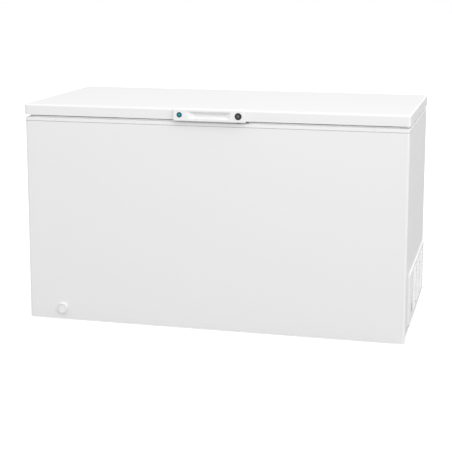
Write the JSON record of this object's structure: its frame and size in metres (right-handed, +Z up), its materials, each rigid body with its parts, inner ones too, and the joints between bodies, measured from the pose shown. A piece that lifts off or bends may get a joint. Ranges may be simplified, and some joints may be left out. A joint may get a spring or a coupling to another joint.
{
  "type": "chest freezer",
  "caption": "White chest freezer with a hinged lid, scooped handle with key lock and pilot light, front drain, side louvre grille with dial, and hanging wire baskets.",
  "frame": {"origin": "floor under the middle of the cabinet", "axes": "+X to the right along the length, -Y to the front, +Z up"},
  "size_m": [1.5504, 0.7759, 0.89],
  "materials": {
    "white_steel": "satin",
    "grey_steel": "satin",
    "black_steel": "satin",
    "zinc_steel": "satin",
    "liner_aluminium": "satin",
    "tube_aluminium": "satin",
    "copper_tube": "satin",
    "white_plastic": "satin",
    "white_panel": "satin",
    "grey_plastic": "matt",
    "black_plastic": "satin",
    "teal_plastic": "gloss",
    "teal_lens": "gloss",
    "lamp_lens": "satin",
    "board": "matt",
    "seal_rubber": "matt",
    "black_rubber": "matt",
    "foam": "matt",
    "wire_white": "satin"
  },
  "bodies": {
    "cabinet": {"back_panel": "grey_steel", "base_pan": "grey_steel", "base_rails": "black_steel", "bulkhead": "grey_steel", "cabinet_foam": "foam", "cabinet_skin": "white_steel", "capillary_tube": "copper_tube", "collar_back": "white_plastic", "collar_corners": "white_plastic", "collar_front": "white_plastic", "collar_left": "white_plastic", "collar_right": "white_plastic", "compressor": "black_steel", "compressor_bolts": "zinc_steel", "compressor_mounts": "black_rubber", "condenser_coil": "black_steel", "cord_gland": "black_plastic", "discharge_line": "copper_tube", "drain_flange": "white_plastic", "drain_tube": "white_panel", "evaporator_coil": "tube_aluminium", "filter_drier": "copper_tube", "grille_screws": "zinc_steel", "hinge_base_left": "zinc_steel", "hinge_base_right": "zinc_steel", "hinge_base_screws": "zinc_steel", "hinge_pins": "zinc_steel", "hinge_springs": "zinc_steel", "inner_liner": "liner_aluminium", "machine_base": "grey_steel", "rail_glides": "black_plastic", "seam_strip": "seal_rubber", "side_grille": "white_plastic", "suction_line": "copper_tube", "terminal_cover": "grey_plastic", "thermostat": "grey_plastic"},
    "lid": {"lid_pan": "white_steel", "lid_inner_panel": "white_panel", "lid_foam": "foam", "lid_gasket": "seal_rubber", "lock_housing": "black_plastic", "lamp_cover": "lamp_lens", "lamp_board": "board", "handle": "white_plastic", "light_bezel": "teal_plastic", "light_lens": "teal_lens", "lock_bezel": "black_plastic", "hinge_leaf_left": "zinc_steel", "hinge_leaf_right": "zinc_steel", "hinge_leaf_screws": "zinc_steel"},
    "lock": {"lock_cylinder": "zinc_steel", "lock_cam": "zinc_steel"},
    "dial": {"control_dial": "grey_plastic"},
    "drain_cap": {"drain_cap": "white_plastic"},
    "drain_stopper": {"drain_stopper": "white_panel"},
    "hinge_plunger_left": {"hinge_plunger_left": "grey_plastic"},
    "hinge_plunger_right": {"hinge_plunger_right": "grey_plastic"},
    "basket_left": {"basket_left": "wire_white"},
    "basket_right": {"basket_right": "wire_white"}
  },
  "joints": [
    {"name": "lid_hinge", "type": "hinge", "parent": "cabinet", "child": "lid", "pos_m": [0, 0.377, 0.847], "axis": [-1, 0, 0], "range_deg": [0, 85]},
    {"name": "lock_turn", "type": "hinge", "parent": "lid", "child": "lock", "pos_m": [0.1175, -0.384, 0.865], "axis": [0, 1, 0], "range_deg": [0, 90]},
    {"name": "dial_turn", "type": "hinge", "parent": "cabinet", "child": "dial", "pos_m": [0.775, -0.15, 0.09], "axis": [1, 0, 0], "range_deg": [-135, 135]},
    {"name": "drain_cap_pull", "type": "slide", "parent": "cabinet", "child": "drain_cap", "axis": [0, -1, 0], "range_m": [0, 0.03]},
    {"name": "drain_stopper_lift", "type": "slide", "parent": "cabinet", "child": "drain_stopper", "axis": [0, 0, 1], "range_m": [0, 0.06]},
    {"name": "basket_left_slide", "type": "slide", "parent": "cabinet", "child": "basket_left", "axis": [1, 0, 0], "range_m": [0, 0.3]},
    {"name": "basket_right_slide", "type": "slide", "parent": "cabinet", "child": "basket_right", "axis": [-1, 0, 0], "range_m": [0, 0.3]},
    {"name": "plunger_left_slide", "type": "slide", "parent": "cabinet", "child": "hinge_plunger_left", "axis": [0, 0, 1], "range_m": [0, 0.0075], "deforming": ["hinge_springs"]},
    {"name": "plunger_right_slide", "type": "slide", "parent": "cabinet", "child": "hinge_plunger_right", "axis": [0, 0, 1], "range_m": [0, 0.0075]}
  ],
  "couplings": [
    {"joint": "plunger_left_slide", "follows": "lid_hinge", "m_per_rad": 0.005},
    {"joint": "plunger_right_slide", "follows": "lid_hinge", "m_per_rad": 0.005}
  ]
}
